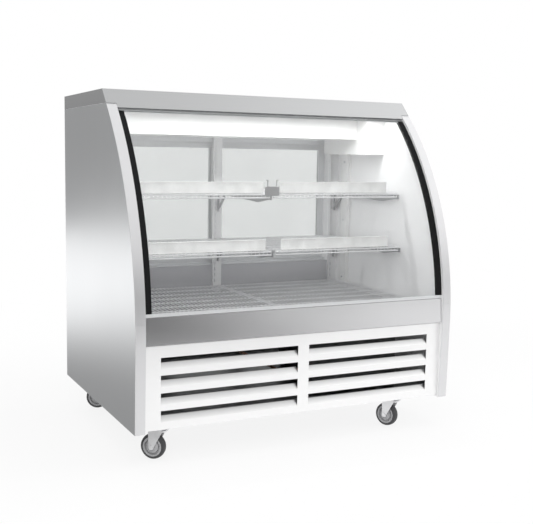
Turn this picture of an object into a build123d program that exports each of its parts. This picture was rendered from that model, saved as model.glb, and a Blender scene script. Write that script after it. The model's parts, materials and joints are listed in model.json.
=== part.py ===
from build123d import *
import os
from math import asin, cos, degrees, radians, sin, sqrt

# Refrigerated deli display case with a curved front glass, on four swivel casters.
# Millimetres. X runs along the case, Y from the glass towards the rear doors, Z up.
# The origin is on the floor, under the middle of the case.

# Driving dimensions
case_width = 1270.0
case_depth = 914.0
caster_height = 116.0
body_height = 1150.0
end_panel_thickness = 36.0
sheet = 1.5

# Levels above the underside of the body
apron_bottom = 297.0
apron_top = 390.0
arc_start = 320.0
cap_height = 52.0
fascia_drop = 15.0
grille_lift = 6.0
grille_top_gap = 4.0

# Setbacks from the foremost face of the case
front_arc_radius = 1100.0
kick_setback = 8.0
cap_fascia_run = 49.63
apron_setback_low = 5.5
apron_setback_high = 10.5
grille_setback = 19.5

# Sheet pieces and clearances
trim_thickness = 2.0
trim_seam_height = 370.0
trim_seam_gap = 0.4
cap_trim_gap = 3.0
slide_gap = 0.3
curve_gap = 0.3
running_gap = 0.05

# Front glass
glass_thickness = 6.0
glass_recess = 12.0
gasket_width = 24.0
gasket_grip = 12.0
gasket_wall = 2.5
channel_grip = 10.0
channel_wall = 1.5
channel_seat = 1.9
glass_top_rise = 6.0

# Insulated well
well_floor_bottom = 297.0
well_floor_thickness = 40.0
well_wall_thickness = 30.0
rear_wall_front = case_depth - 88.0
rear_wall_back = case_depth - 12.0
rear_wall_top = 451.0

# Rear doors
header_bottom = body_height - 154.0
post_width = 40.0
door_thickness = 14.0
door_gap = 7.0
door_overlap = 34.0
stile_width = 32.0
door_rail_width = 26.0
door_glass_thickness = 4.0
door_glass_bite = 6.0
runner_thickness = 6.0
runner_drop = 5.0
runner_lift = 9.0
track_base = 4.0
track_groove = 6.0
top_groove = 12.0
top_track_base = 3.0
pull_length = 180.0
pull_depth = 9.0
pull_width = 9.0

# Ceiling and cooler
ceiling_bottom = body_height - 67.0
ceiling_run = 28.0
ceiling_back = case_depth - 34.0
cooler_front = case_depth - 394.0
cooler_bottom = body_height - 150.0
pipe_box_width = 87.0
pipe_box_run = 40.0
pipe_box_back = case_depth - 121.0
pipe_box_bottom = body_height - 213.0
line_cover_front = case_depth - 210.0
line_cover_back = case_depth - 154.0
line_cover_depth = 14.0
line_cover_lip = 12.0
coil_front = case_depth - 224.0
coil_back = case_depth - 114.0
coil_fin_pitch = 70.0
coil_fin_thickness = 2.0
fan_hole_radius = 60.0
cooler_fan_radius = 56.0
cooler_fan_offset = 230.0
cooler_fan_setback = case_depth - 314.0

# Lamp
lamp_end_gap = 39.0
lamp_tube_radius = 8.0
lamp_housing_width = 42.0
lamp_housing_height = 24.0

# Shelving
standard_width = 38.0
standard_depth = 16.0
standard_wall = 2.0
slot_height = 14.0
slot_width = 4.0
slot_pitch = 26.0
upper_shelf_top = 785.0
lower_shelf_top = 569.0
upper_shelf_front = 294.0
lower_shelf_front = 272.0
shelf_middle_gap = 16.0
shelf_side_gap = 27.0
shelf_back_gap = 2.0
rail_wire = 6.0
deck_wire = 3.0
wire_pitch = 25.0
bracket_thickness = 4.0
bracket_nose_height = 16.0
bracket_belly = 30.0
bracket_root_height = 92.0
bracket_tab = 6.0
strut_reach = 70.0
price_channel_end_gap = 79.0
price_channel_middle_gap = 66.0
price_channel_height = 40.0
price_channel_lift = 2.0
price_channel_sheet = 2.0
price_channel_lip = 4.0
nose_plate_width = 60.0
nose_plate_height = 36.0
nose_plate_sheet = 3.0
prong_wire = 3.0
prong_offset = 19.0
prong_height = 22.0
flange_width = 36.0
corner_flange_width = 20.0
flange_sheet = 2.0

# Deck racks
rack_top = 367.0
rack_front_gap = 14.0
rack_side_gap = 20.0
rack_middle_gap = 8.0
rack_rear_gap = 30.0

# Base and machine bay
rail_height = 30.0
rail_depth = 76.0
rail_wall = 3.0
base_rail_lift = 4.0
pan_sheet = 2.0
pan_lip = 18.0

# Louvred front grille
louvre_end_margin = 58.5
louvre_middle_gap = 45.0
louvre_count = 4
louvre_top = 252.0
louvre_pitch = 60.5
louvre_opening = 38.0
louvre_rise = 26.0
louvre_recess = 13.0
grille_return = 20.0

# Condensing unit
condenser_width = 360.0
condenser_height = 230.0
condenser_thickness = 44.0
condenser_setback = 70.0
condenser_inset = 349.0
condenser_fin_pitch = 24.0
condenser_fan_radius = 95.0
shroud_hole_radius = 101.0
shroud_depth = 58.0
compressor_radius = 82.0
compressor_height = 180.0
compressor_inset = 349.0
compressor_setback = 520.0
pipe_radius = 5.0

# Controls on the rear service panel
control_width = 150.0
control_height = 90.0
control_depth = 60.0
control_inset = 219.0
control_level = 225.0
knob_radius = 20.0
knob_height = 9.0
knob_shaft_radius = 4.0
rocker_width = 16.0
rocker_height = 26.0

# Casters
wheel_radius = 44.5
wheel_width = 32.0
tyre_thickness = 11.0
axle_radius = 5.0
caster_trail = 24.0
caster_left_inset = 113.0
caster_right_inset = 201.0
caster_front_setback = 80.0
caster_rear_setback = 770.0
plate_length = 92.0
plate_width = 72.0
plate_thickness = 4.0
raceway_radius = 27.0
raceway_height = 9.0
raceway_gap = 0.4
crown_height = 5.0
kingpin_radius = 6.0
fork_sheet = 3.0
fork_wheel_gap = 2.5

# Fans, motors and fins
motor_radius = 22.0
motor_height = 34.0
motor_shaft_radius = 3.0
fan_shaft_gap = 6.0
fan_hub_radius = 15.0
fan_hub_depth = 14.0
fan_blade_count = 5
blade_sheet = 1.6
blade_root_pitch = 40.0
blade_tip_pitch = 22.0
blade_chord_share = 0.8
coil_tube_radius = 7.0
coil_tube_rises = (25.0, 55.0)
fin_sheet = 2.0
condenser_tube_rises = (45.0, 115.0, 185.0)
condenser_tube_radius = 7.0
condenser_fan_inset = 22.0
condenser_hub_radius = 24.0
condenser_hub_depth = 22.0
condenser_blade_count = 4
condenser_shaft_radius = 4.0
condenser_motor_radius = 42.0
condenser_motor_length = 70.0
motor_stand = 10.0
motor_arm_width = 18.0
motor_arm_sheet = 3.0

# Lamp sockets
lamp_socket_depth = 14.0
lamp_socket_height = 20.0

# Bracket and grid details
slot_offset = -11.0
strut_width = 12.0
nose_run = 26.0
belly_run = 90.0
rail_clearance = 0.3
shelf_cross_rails = 2
rack_cross_rails = 3

# Machine bay details
service_slot_middle = 150.0
service_slot_length = 300.0
service_slot_height = 9.0
service_slot_pitch = 26.0
service_slot_count = 7
foot_height = 8.0
compressor_seam = 92.0
suction_rise = 20.0
line_drop_inset = 42.0
discharge_run = 225.0
pipe_bend = 30.0

# Control details
control_rim = 10.0
knob_lift = 2.5
knob_shaft_length = 12.0
pointer_width = 2.5
pointer_cut = 1.5
rocker_room = 0.8
rocker_pocket = 14.0
rocker_back = 5.0
rocker_pin_depth = 6.0
rocker_pin_length = 3.0
rocker_pin_radius = 2.0
rocker_tilt = -10.0
rocker_edge = 1.0

# Caster details
plate_corner = 8.0
kingpin_head_radius = 10.0
kingpin_head = 3.0
crown_shift = 8.0
crown_length = 70.0
crown_corner = 8.0
leg_end = 9.0
bolt_head = 4.0
bolt_head_radius = 8.0
boss_radius = 10.0
web_thickness = 12.0
rim_thickness = 5.0
rim_inset = 3.0
tyre_shoulder = 3.0
front_left_turn = -44.0
front_right_turn = -65.0
rear_left_turn = -30.0
rear_right_turn = -75.0

half_width = case_width / 2
inner_half = half_width - end_panel_thickness
front_y = -case_depth / 2
back_y = case_depth / 2
cap_bottom = body_height - cap_height
lamp_length = 2 * (inner_half - lamp_end_gap)
price_channel_length = inner_half - price_channel_middle_gap / 2 - price_channel_end_gap
louvre_length = inner_half - louvre_middle_gap / 2 - louvre_end_margin
condenser_middle = inner_half - condenser_inset
compressor_middle = inner_half - compressor_inset
control_middle = control_inset - inner_half
arc_centre_y = front_y + front_arc_radius


def depth(setback):
    return front_y + setback


def level(height):
    return caster_height + height


def front_point(height, inset):
    """The point of the front outline at one height, moved back square to the outline by inset."""
    if height >= arc_start:
        swing = asin((height - arc_start) / front_arc_radius)
        radius = front_arc_radius - inset
        return (arc_centre_y - radius * cos(swing), level(arc_start) + radius * sin(swing))
    if height >= apron_bottom:
        return (depth(inset), level(height))
    recede = kick_setback * (apron_bottom - height) / apron_bottom
    return (depth(inset + recede), level(height))


def front_edge(low, high, inset):
    """Draws the front outline from one height to another in the open BuildLine."""
    stations = [low] + [h for h in (apron_bottom, arc_start) if low < h < high] + [high]
    for start, end in zip(stations, stations[1:]):
        if start >= arc_start:
            middle = (start + end) / 2
            ThreePointArc(front_point(start, inset), front_point(middle, inset), front_point(end, inset))
        else:
            Line(front_point(start, inset), front_point(end, inset))


def front_strip(low, high, outer, inner, start_x, end_x):
    """A strip that follows the front outline between two insets, as long in X as stated."""
    with BuildPart() as strip:
        with BuildSketch(Plane.YZ.offset(start_x)):
            with BuildLine():
                front_edge(low, high, outer)
                front_edge(low, high, inner)
                Line(front_point(low, outer), front_point(low, inner))
                Line(front_point(high, outer), front_point(high, inner))
            make_face()
        extrude(amount=end_x - start_x)
    return strip.part


def block(x_range, y_range, z_range):
    """A rectangular piece between two limits on each axis."""
    with BuildPart() as piece:
        with BuildSketch(Plane.XY.offset(z_range[0])):
            with Locations(((x_range[0] + x_range[1]) / 2, (y_range[0] + y_range[1]) / 2)):
                Rectangle(x_range[1] - x_range[0], y_range[1] - y_range[0])
        extrude(amount=z_range[1] - z_range[0])
    return piece.part


os.makedirs("parts", exist_ok=True)


def keep(piece, name):
    piece.label = name
    export_step(piece, "parts/" + name + ".step")


# End panels, with the bright trims along their front edges
cap_low_setback = front_point(cap_bottom, 0)[0] - front_y
cap_top_setback = cap_low_setback + cap_fascia_run
fascia_slope = cap_fascia_run / cap_height
ceiling_front = cap_top_setback + ceiling_run
pipe_box_front = ceiling_front + pipe_box_run


def end_panel(start_x):
    with BuildPart() as panel:
        with BuildSketch(Plane.YZ.offset(start_x)):
            with BuildLine():
                front_edge(0, cap_bottom, trim_thickness)
                low = front_point(0, trim_thickness)
                high = front_point(cap_bottom, trim_thickness)
                Polyline(low, (back_y, level(0)), (back_y, level(cap_bottom)), (high[0], level(cap_bottom)), high)
            make_face()
        extrude(amount=end_panel_thickness)
        fillet(panel.edges().filter_by(Axis.X).group_by(Axis.Y)[-1], radius=sheet)
    return panel.part


for side, start_x in (("left", -half_width), ("right", inner_half)):
    keep(end_panel(start_x), "end_panel_" + side)
    end_x = start_x + end_panel_thickness
    seam = trim_seam_height
    lower = front_strip(0, seam - trim_seam_gap, 0, trim_thickness, start_x, end_x)
    upper = front_strip(seam, cap_bottom - cap_trim_gap, 0, trim_thickness, start_x, end_x)
    keep(lower, "trim_lower_" + side)
    keep(upper, "trim_upper_" + side)

# Top cap: a folded sheet with a sloping fascia that drops lower between the trims
with BuildPart() as top_cap:
    with BuildSketch(Plane.YZ.offset(-half_width)):
        with BuildLine():
            Polyline(
                (depth(cap_low_setback), level(cap_bottom)),
                (depth(cap_top_setback), level(body_height)),
                (back_y, level(body_height)),
                (back_y, level(cap_bottom)),
                close=True,
            )
        make_face()
    extrude(amount=case_width)
    fascia_wall = sheet * sqrt(1 + fascia_slope**2)
    with BuildSketch(Plane.YZ.offset(-half_width + sheet)):
        with BuildLine():
            rim = fascia_slope * sheet
            Polyline(
                (depth(cap_low_setback + fascia_wall), level(cap_bottom)),
                (depth(cap_top_setback + fascia_wall - rim), level(body_height - sheet)),
                (back_y - sheet, level(body_height - sheet)),
                (back_y - sheet, level(cap_bottom)),
                close=True,
            )
        make_face()
    extrude(amount=case_width - 2 * sheet, mode=Mode.SUBTRACT)
    lip_back = fascia_slope * fascia_drop
    with BuildSketch(Plane.YZ.offset(-inner_half + slide_gap)):
        with BuildLine():
            Polyline(
                (depth(cap_low_setback), level(cap_bottom)),
                (depth(cap_low_setback - lip_back), level(cap_bottom - fascia_drop)),
                (depth(cap_low_setback - lip_back + fascia_wall), level(cap_bottom - fascia_drop)),
                (depth(cap_low_setback + fascia_wall), level(cap_bottom)),
                close=True,
            )
        make_face()
    extrude(amount=2 * (inner_half - slide_gap))
keep(top_cap.part, "top_cap")

# Ceiling panel, which fills the cap behind the lamp
keep(
    block(
        (-inner_half, inner_half),
        (depth(ceiling_front), depth(ceiling_back)),
        (level(ceiling_bottom), level(body_height - sheet)),
    ),
    "ceiling_panel",
)

# Front glass, its side gaskets and the channels that hold its long edges
glass_outer = glass_recess
glass_inner = glass_recess + glass_thickness
glass_side = inner_half - gasket_width + gasket_grip
glass_bottom = apron_top + channel_wall + channel_seat
glass_top = ceiling_bottom + glass_top_rise
gasket_outer = glass_outer - gasket_wall
gasket_inner = glass_inner + gasket_wall
keep(
    front_strip(glass_bottom, glass_top, glass_outer, glass_inner, -glass_side, glass_side),
    "front_glass",
)


def glass_gasket(side):
    outside = front_strip(
        glass_bottom + channel_grip + curve_gap,
        glass_top - channel_grip - curve_gap,
        gasket_outer,
        gasket_inner,
        -inner_half,
        -inner_half + gasket_width,
    )
    groove = front_strip(
        glass_bottom,
        glass_top,
        glass_outer - running_gap,
        glass_inner + running_gap,
        -glass_side - running_gap,
        -inner_half + gasket_width,
    )
    with BuildPart() as strip:
        add(outside)
        add(groove, mode=Mode.SUBTRACT)
    return strip.part if side < 0 else mirror(strip.part, about=Plane.YZ)


with BuildPart() as glass_gaskets:
    for side in (-1, 1):
        add(glass_gasket(side))
keep(glass_gaskets.part, "glass_gaskets")


def edge_channel(height, opens_up):
    """A U-shaped length of channel that grips the glass edge at one height."""
    rise = height - arc_start
    lean = degrees(asin(rise / (front_arc_radius - glass_outer - glass_thickness / 2)))
    y, z = front_point(height, glass_outer + glass_thickness / 2)
    inside = glass_thickness + 2 * curve_gap
    turn = -lean if opens_up else 180 - lean
    with BuildPart() as channel:
        with BuildSketch(Plane.YZ.offset(-inner_half)):
            with Locations(Location((y, z, 0), (0, 0, turn))):
                with Locations((0, (channel_grip - channel_wall - curve_gap) / 2)):
                    Rectangle(inside + 2 * channel_wall, channel_grip + channel_wall + curve_gap)
                with Locations((0, (channel_grip - curve_gap) / 2)):
                    Rectangle(inside, channel_grip + curve_gap, mode=Mode.SUBTRACT)
        extrude(amount=2 * inner_half)
    return channel.part


with BuildPart() as glass_channels:
    add(edge_channel(glass_bottom, True))
    add(edge_channel(glass_top, False))
    hanger_y, hanger_low = front_point(glass_top, glass_outer + glass_thickness / 2)
    fascia_inside = depth(cap_low_setback + fascia_wall)
    hanger_high = level(cap_bottom) + (hanger_y - channel_wall - fascia_inside) / fascia_slope - slide_gap
    with BuildSketch(Plane.YZ.offset(-inner_half)):
        with Locations((hanger_y, (hanger_low + hanger_high + channel_wall / 2) / 2)):
            Rectangle(channel_wall, hanger_high - hanger_low - channel_wall / 2)
    extrude(amount=2 * inner_half)
keep(glass_channels.part, "glass_channels")

# Front apron: a leaning sheet with a top flange back to the glass and a bottom flange
apron_flange = 20.0
with BuildPart() as front_apron:
    with BuildSketch(Plane.YZ.offset(-inner_half + slide_gap)):
        with BuildLine():
            Polyline(
                (depth(apron_setback_low), level(apron_bottom)),
                (depth(apron_setback_high), level(apron_top)),
                (depth(apron_setback_high + apron_flange), level(apron_top)),
                (depth(apron_setback_high + apron_flange), level(apron_top - sheet)),
                (depth(apron_setback_high + sheet), level(apron_top - sheet)),
                (depth(apron_setback_low + sheet), level(apron_bottom + sheet)),
                (depth(apron_setback_low + apron_flange), level(apron_bottom + sheet)),
                (depth(apron_setback_low + apron_flange), level(apron_bottom)),
                close=True,
            )
        make_face()
    extrude(amount=2 * (inner_half - slide_gap))
keep(front_apron.part, "front_apron")

# Louvred front grille: blades rise flush from the lower edge of each opening and lean inwards
grille_half = inner_half - slide_gap
grille_top = apron_bottom - grille_top_gap
grille_middle = level((grille_top + grille_lift) / 2)
grille_face = depth(grille_setback)
louvre_centre = (louvre_middle_gap + louvre_length) / 2
louvre_heights = [louvre_top - louvre_pitch * n - louvre_opening / 2 for n in range(louvre_count)]
louvre_spots = [(x, level(h) - grille_middle) for x in (-louvre_centre, louvre_centre) for h in louvre_heights]
with BuildPart() as front_grille:
    with BuildSketch(Plane.XZ.offset(-grille_face)):
        with Locations((0, grille_middle)):
            Rectangle(2 * grille_half, grille_top - grille_lift)
    extrude(amount=-grille_return)
    with BuildSketch(Plane.XZ.offset(-grille_face - sheet)):
        with Locations((0, grille_middle)):
            Rectangle(2 * (grille_half - sheet), grille_top - grille_lift - 2 * sheet)
    extrude(amount=-grille_return, mode=Mode.SUBTRACT)
    with BuildSketch(Plane.XZ.offset(-grille_face)):
        with Locations(*[(x, grille_middle + z) for x, z in louvre_spots]):
            Rectangle(louvre_length, louvre_opening)
    extrude(amount=-sheet, mode=Mode.SUBTRACT)
    for x in (-louvre_centre, louvre_centre):
        for height in louvre_heights:
            foot = level(height - louvre_opening / 2)
            with BuildSketch(Plane.YZ.offset(x - louvre_length / 2)):
                with BuildLine():
                    Polyline(
                        (grille_face, foot - sheet),
                        (grille_face, foot),
                        (grille_face + louvre_recess, foot + louvre_rise),
                        (grille_face + louvre_recess + sheet, foot + louvre_rise),
                        (grille_face + sheet, foot - sheet),
                        close=True,
                    )
                make_face()
            extrude(amount=louvre_length)
keep(front_grille.part, "front_grille")

# Insulated well: floor, front wall and rear wall
well_floor_top = well_floor_bottom + well_floor_thickness
well_front = apron_setback_high + apron_flange
well_wall_back = well_front + well_wall_thickness
side_to_side = (-inner_half, inner_half)
keep(
    block(
        side_to_side,
        (depth(well_front), depth(rear_wall_back)),
        (level(well_floor_bottom), level(well_floor_top)),
    ),
    "well_floor",
)
keep(
    block(
        side_to_side,
        (depth(well_front), depth(well_wall_back)),
        (level(well_floor_top), level(apron_top)),
    ),
    "well_front_wall",
)
keep(
    block(
        side_to_side,
        (depth(rear_wall_front), depth(rear_wall_back)),
        (level(well_floor_top), level(rear_wall_top)),
    ),
    "rear_wall",
)
keep(
    block(
        side_to_side,
        (depth(rear_wall_front), depth(rear_wall_back)),
        (level(header_bottom), level(ceiling_bottom)),
    ),
    "door_header",
)
with BuildPart() as rear_posts:
    for side in (-1, 1):
        with BuildSketch(Plane.XY.offset(level(rear_wall_top))):
            with Locations((side * (inner_half - post_width / 2), depth((rear_wall_front + rear_wall_back) / 2))):
                Rectangle(post_width, rear_wall_back - rear_wall_front)
        extrude(amount=header_bottom - rear_wall_top)
keep(rear_posts.part, "rear_posts")

# Sliding rear doors on grooved tracks; the left one runs in the inner groove
doorway_half = inner_half - post_width
inner_door_y = depth((rear_wall_front + rear_wall_back) / 2) - (door_thickness + door_gap) / 2
outer_door_y = inner_door_y + door_thickness + door_gap
track_back = (rear_wall_front + rear_wall_back) / 2 + door_thickness + door_gap
track_front = (rear_wall_front + rear_wall_back) / 2 - door_thickness - door_gap
track_width = runner_thickness + 2 * slide_gap
with BuildPart() as door_tracks:
    with BuildSketch(Plane.XY.offset(level(rear_wall_top))):
        with Locations((0, depth((track_front + track_back) / 2))):
            Rectangle(2 * doorway_half, track_back - track_front)
    extrude(amount=track_base + track_groove)
    with BuildSketch(Plane.XY.offset(level(header_bottom))):
        with Locations((0, depth((track_front + track_back) / 2))):
            Rectangle(2 * doorway_half, track_back - track_front)
    extrude(amount=-top_track_base - top_groove)
    with BuildSketch(Plane.XY.offset(level(rear_wall_top + track_base))):
        with Locations((0, inner_door_y), (0, outer_door_y)):
            Rectangle(2 * doorway_half, track_width)
    extrude(amount=track_groove, mode=Mode.SUBTRACT)
    with BuildSketch(Plane.XY.offset(level(header_bottom - top_track_base))):
        with Locations((0, inner_door_y), (0, outer_door_y)):
            Rectangle(2 * doorway_half, track_width)
    extrude(amount=-top_groove, mode=Mode.SUBTRACT)
keep(door_tracks.part, "door_tracks")

door_width = doorway_half + door_overlap / 2 - slide_gap
door_low = rear_wall_top + track_base + track_groove + slide_gap
door_high = header_bottom - top_track_base - top_groove - slide_gap
door_middle_z = level((door_low + door_high) / 2)
door_height = door_high - door_low


def sliding_door(side, door_y):
    """Frame with a runner below and above, and a pull on the stile by the post."""
    middle_x = side * (doorway_half - slide_gap - door_width / 2)
    with BuildPart() as frame:
        with BuildSketch(Plane.XZ.offset(-door_y + door_thickness / 2)):
            with Locations((middle_x, door_middle_z)):
                Rectangle(door_width, door_height)
                Rectangle(door_width - 2 * stile_width, door_height - 2 * door_rail_width, mode=Mode.SUBTRACT)
        extrude(amount=-door_thickness)
        with BuildSketch(Plane.XZ.offset(-door_y + door_glass_thickness / 2 + running_gap)):
            with Locations((middle_x, door_middle_z)):
                pocket = 2 * (door_glass_bite + slide_gap)
                Rectangle(door_width - 2 * stile_width + pocket, door_height - 2 * door_rail_width + pocket)
        extrude(amount=-door_glass_thickness - 2 * running_gap, mode=Mode.SUBTRACT)
        with BuildSketch(Plane.XY.offset(level(door_low))):
            with Locations((middle_x, door_y)):
                Rectangle(door_width, runner_thickness)
        extrude(amount=-runner_drop)
        with BuildSketch(Plane.XY.offset(level(door_high))):
            with Locations((middle_x, door_y)):
                Rectangle(door_width, runner_thickness)
        extrude(amount=runner_lift)
        pull_x = side * (doorway_half - slide_gap - stile_width / 3)
        with BuildSketch(Plane.XY.offset(door_middle_z - pull_length / 2)):
            with BuildLine():
                back = door_y + door_thickness / 2
                Polyline(
                    (pull_x - pull_width / 2, back),
                    (pull_x - pull_width / 3, back + pull_depth),
                    (pull_x + pull_width / 3, back + pull_depth),
                    (pull_x + pull_width / 2, back),
                    close=True,
                )
            make_face()
        extrude(amount=pull_length)
    with BuildPart() as pane:
        with BuildSketch(Plane.XZ.offset(-door_y + door_glass_thickness / 2)):
            with Locations((middle_x, door_middle_z)):
                bite = 2 * door_glass_bite
                Rectangle(door_width - 2 * stile_width + bite, door_height - 2 * door_rail_width + bite)
        extrude(amount=-door_glass_thickness)
    return frame.part, pane.part


for name, side, door_y in (("left", -1, inner_door_y), ("right", 1, outer_door_y)):
    frame, pane = sliding_door(side, door_y)
    keep(frame, "door_" + name + "_frame")
    keep(pane, "door_" + name + "_glass")

# Ceiling cooler: folded housing with two fan holes below, coil and fans
housing_back = rear_wall_front
housing_left = -inner_half
housing_right = inner_half - pipe_box_width
housing_middle = (housing_left + housing_right) / 2
fan_spots = [housing_middle - cooler_fan_offset, housing_middle + cooler_fan_offset]
fan_y = depth(cooler_fan_setback)
with BuildPart() as cooler_housing:
    with BuildSketch(Plane.YZ.offset(housing_left)):
        with BuildLine():
            Polyline(
                (depth(cooler_front), level(ceiling_bottom)),
                (depth(cooler_front), level(cooler_bottom)),
                (depth(housing_back), level(cooler_bottom)),
                (depth(housing_back), level(cooler_bottom + line_cover_lip)),
                (depth(housing_back) - sheet, level(cooler_bottom + line_cover_lip)),
                (depth(housing_back) - sheet, level(cooler_bottom) + sheet),
                (depth(cooler_front) + sheet, level(cooler_bottom) + sheet),
                (depth(cooler_front) + sheet, level(ceiling_bottom)),
                close=True,
            )
        make_face()
    extrude(amount=housing_right - housing_left)
    with BuildSketch(Plane.XY.offset(level(cooler_bottom))):
        with Locations(*[(x, fan_y) for x in fan_spots]):
            Circle(fan_hole_radius)
    extrude(amount=sheet, mode=Mode.SUBTRACT)
keep(cooler_housing.part, "cooler_housing")

coil_left = housing_left + pipe_box_width / 2
coil_right = housing_right - 4.0
coil_low = cooler_bottom + sheet
coil_high = ceiling_bottom
coil_fins = int((coil_right - coil_left) // coil_fin_pitch)
with BuildPart() as cooler_coil:
    with BuildSketch(Plane.YZ.offset(coil_left)):
        for tube_rise in coil_tube_rises:
            with Locations((depth((coil_front + coil_back) / 2), level(coil_low) + tube_rise)):
                RegularPolygon(coil_tube_radius, 4)
    extrude(amount=coil_fin_pitch * coil_fins + coil_fin_thickness)
    for n in range(coil_fins + 1):
        with BuildSketch(Plane.YZ.offset(coil_left + n * coil_fin_pitch)):
            with Locations((depth((coil_front + coil_back) / 2), level((coil_low + coil_high) / 2))):
                Rectangle(coil_back - coil_front, coil_high - coil_low)
        extrude(amount=coil_fin_thickness)
keep(cooler_coil.part, "cooler_coil")


def fan_rotor(tip_radius, hub_radius, hub_depth, blade_count, bore_radius):
    """An axial fan about Z: a bored hub and blades lofted from a steep root to a flatter tip."""
    with BuildPart() as blade:
        with BuildSketch(Plane.YZ.offset(hub_radius * 0.8)):
            Rectangle(hub_radius * 1.0, blade_sheet, rotation=blade_root_pitch)
        with BuildSketch(Plane.YZ.offset(tip_radius)):
            Rectangle(tip_radius * blade_chord_share, blade_sheet, rotation=blade_tip_pitch)
        loft()
        Cylinder(tip_radius, 4 * hub_depth, mode=Mode.INTERSECT)
    with BuildPart() as rotor:
        Cylinder(hub_radius, hub_depth)
        with PolarLocations(0, blade_count):
            add(blade.part)
        Cylinder(bore_radius, hub_depth, mode=Mode.SUBTRACT)
    return rotor.part


def fan_motor(radius, height, shaft_radius, shaft_length):
    """A round motor about Z with its top at the origin and its shaft pointing down."""
    with BuildPart() as motor:
        with BuildSketch(Plane.XY):
            Circle(radius)
        extrude(amount=-height)
        fillet(motor.edges().filter_by(GeomType.CIRCLE).group_by(Axis.Z)[0], radius=radius / 5)
        with BuildSketch(Plane.XY.offset(-height)):
            Circle(shaft_radius)
        extrude(amount=-shaft_length)
    return motor.part


shaft_reach = fan_shaft_gap + fan_hub_depth
cooler_fan = fan_rotor(
    cooler_fan_radius, fan_hub_radius, fan_hub_depth, fan_blade_count, motor_shaft_radius + running_gap
)
cooler_fan_level = level(ceiling_bottom - motor_height - fan_shaft_gap - fan_hub_depth / 2)
for name, x in zip(("left", "right"), fan_spots):
    keep(cooler_fan.moved(Location((x, fan_y, cooler_fan_level))), "cooler_fan_" + name)

# Box at the right end of the cooler, and the screwed cover over the lines below it
with BuildPart() as pipe_cover:
    with BuildSketch(Plane.XY.offset(level(pipe_box_bottom))):
        with Locations((inner_half - pipe_box_width / 2, depth((pipe_box_front + pipe_box_back) / 2))):
            Rectangle(pipe_box_width, pipe_box_back - pipe_box_front)
    extrude(amount=ceiling_bottom - pipe_box_bottom)
    with BuildSketch(Plane.XY.offset(level(pipe_box_bottom + sheet))):
        with Locations((inner_half - pipe_box_width / 2 + sheet, depth((pipe_box_front + pipe_box_back) / 2))):
            Rectangle(pipe_box_width, pipe_box_back - pipe_box_front - 2 * sheet)
    extrude(amount=ceiling_bottom - pipe_box_bottom, mode=Mode.SUBTRACT)
    with BuildSketch(Plane.XY.offset(level(well_floor_top))):
        with BuildLine():
            outer_x = inner_half - line_cover_depth
            front = depth(line_cover_front)
            back = depth(line_cover_back)
            Polyline(
                (inner_half, front - line_cover_lip),
                (inner_half - sheet, front - line_cover_lip),
                (inner_half - sheet, front),
                (outer_x, front),
                (outer_x, back),
                (inner_half - sheet, back),
                (inner_half - sheet, back + line_cover_lip),
                (inner_half, back + line_cover_lip),
                (inner_half, back - sheet),
                (outer_x + sheet, back - sheet),
                (outer_x + sheet, front + sheet),
                (inner_half, front + sheet),
                close=True,
            )
        make_face()
    extrude(amount=pipe_box_bottom - well_floor_top)
keep(pipe_cover.part, "pipe_cover")

# Lamp: a channel hung from the cap behind the fascia, and its tube
lamp_low = ceiling_bottom + lamp_tube_radius
with BuildPart() as lamp_housing:
    with BuildSketch(Plane.YZ.offset(-lamp_length / 2)):
        with BuildLine():
            half = lamp_housing_width / 2
            middle = depth(ceiling_front) - half
            low = level(lamp_low)
            high = level(lamp_low + lamp_housing_height)
            Polyline(
                (middle - half, low),
                (middle - half / 2, high),
                (middle + half, high),
                (middle + half, low),
                (middle + half - sheet, low),
                (middle + half - sheet, high - sheet),
                (middle - half / 2 + sheet, high - sheet),
                (middle - half + 2 * sheet, low),
                close=True,
            )
        make_face()
    extrude(amount=lamp_length)
    for x in (-lamp_length / 2, lamp_length / 2 - lamp_socket_depth):
        with BuildSketch(Plane.YZ.offset(x)):
            with Locations((middle, high - sheet - lamp_socket_height / 2)):
                Rectangle(lamp_housing_width / 2, lamp_socket_height)
        extrude(amount=lamp_socket_depth)
keep(lamp_housing.part, "lamp_housing")
with BuildPart() as lamp_tube:
    with BuildSketch(Plane.YZ.offset(-lamp_length / 2 + lamp_socket_depth)):
        with Locations((middle, high - sheet - lamp_socket_height / 2)):
            Circle(lamp_tube_radius)
    extrude(amount=lamp_length - 2 * lamp_socket_depth)
keep(lamp_tube.part, "lamp_tube")

# Slotted standards in the middle and the rear corners
standard_spots = (-inner_half + standard_width / 2, 0.0, inner_half - standard_width / 2)
standard_front = rear_wall_front - standard_depth
slot_rows = int((cooler_bottom - well_floor_top) // slot_pitch)
with BuildPart() as shelf_standards:
    for x in standard_spots:
        with BuildSketch(Plane.XY.offset(level(well_floor_top))):
            with Locations((x, depth(standard_front + standard_depth / 2))):
                Rectangle(standard_width, standard_depth)
            with Locations((x, depth(standard_front + standard_depth / 2 + standard_wall))):
                Rectangle(standard_width - 2 * standard_wall, standard_depth, mode=Mode.SUBTRACT)
        extrude(amount=cooler_bottom - well_floor_top)
    with BuildSketch(Plane.XZ.offset(-depth(standard_front))):
        for x in standard_spots:
            with Locations((x + slot_offset, level((well_floor_top + cooler_bottom) / 2))):
                with GridLocations(1, slot_pitch, 1, slot_rows):
                    Rectangle(slot_width, slot_height)
    extrude(amount=-standard_wall, mode=Mode.SUBTRACT)
keep(shelf_standards.part, "shelf_standards")


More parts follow.
